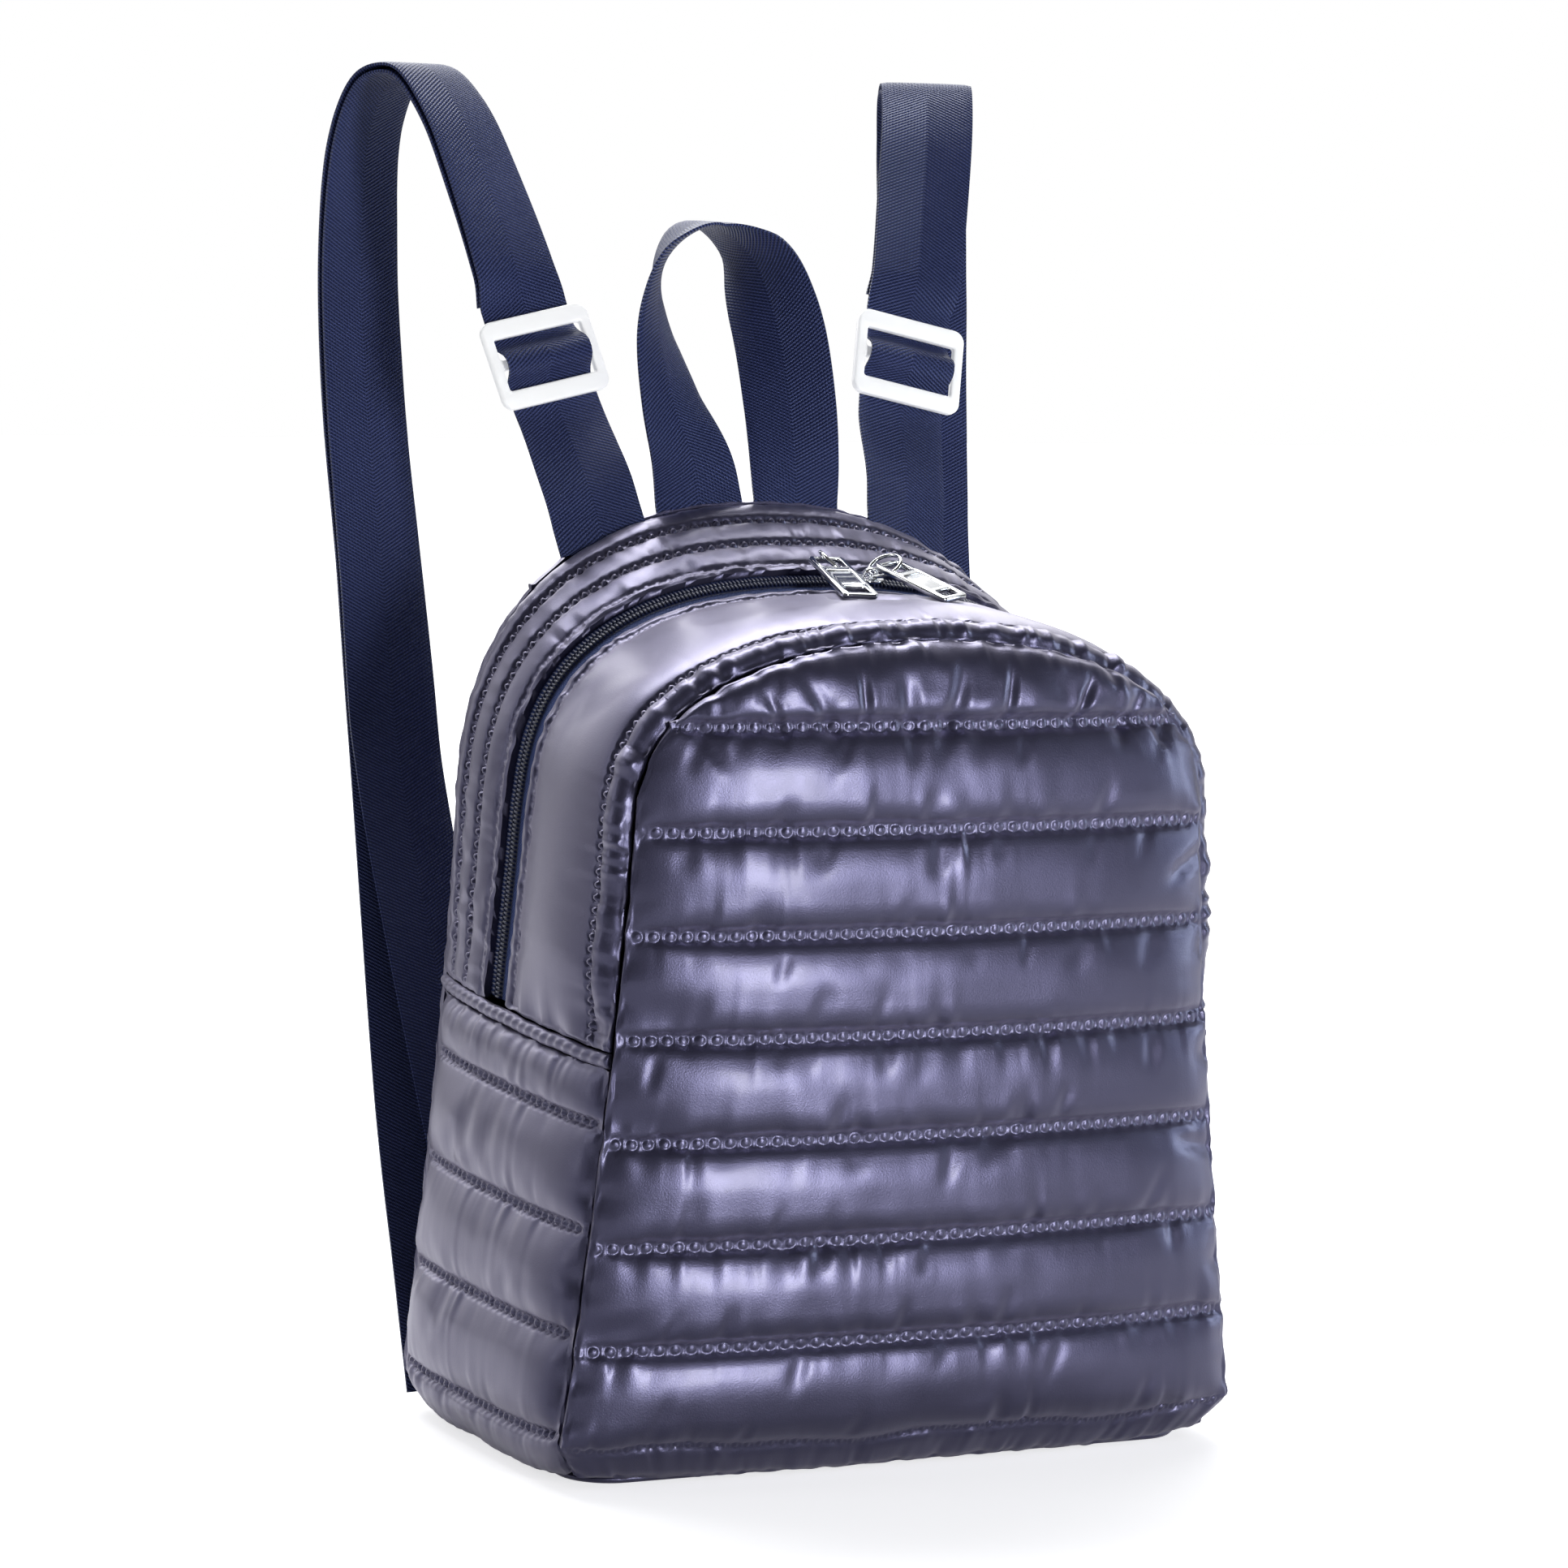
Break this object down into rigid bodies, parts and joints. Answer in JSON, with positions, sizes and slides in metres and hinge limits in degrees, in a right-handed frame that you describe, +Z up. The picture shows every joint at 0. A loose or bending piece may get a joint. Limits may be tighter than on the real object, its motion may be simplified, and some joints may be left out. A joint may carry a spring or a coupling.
{
  "type": "backpack",
  "caption": "Quilted mini backpack standing on its base, with an arched zipped top, a webbing carry handle and adjustable webbing shoulder straps.",
  "frame": {"origin": "centre of the flat underside of the base, where the bag stands", "axes": "+Z up, -Y out of the quilted front, +X to the right when looking at the front"},
  "size_m": [0.2566, 0.243, 0.4508],
  "materials": {
    "quilted_nylon": "metallic nylon, satin",
    "zip_tape": "woven twill, matte",
    "zip_teeth": "moulded, satin",
    "polished_metal": "polished",
    "webbing": "herringbone weave, slight sheen",
    "white_plastic": "glossy"
  },
  "bodies": {
    "root": {"front_panel": "quilted_nylon", "back_panel": "quilted_nylon", "side_panel_left": "quilted_nylon", "side_panel_right": "quilted_nylon", "side_binding_left": "quilted_nylon", "side_binding_right": "quilted_nylon", "gusset_front_strip": "quilted_nylon", "gusset_back_strip": "quilted_nylon", "base_panel": "quilted_nylon", "zip_tape_front": "zip_tape", "zip_tape_back": "zip_tape", "zip_chain_left": "zip_teeth", "zip_chain_right": "zip_teeth", "zip_slider_left": "polished_metal", "zip_slider_right": "polished_metal", "pull_ring_left": "polished_metal", "pull_ring_right": "polished_metal", "pull_tab_left": "polished_metal", "pull_tab_right": "polished_metal", "carry_handle": "webbing", "shoulder_strap_left": "webbing", "shoulder_strap_right": "webbing", "strap_second_layer_left": "webbing", "strap_second_layer_right": "webbing", "strap_slider_left": "white_plastic", "strap_slider_right": "white_plastic"}
  },
  "joints": []
}
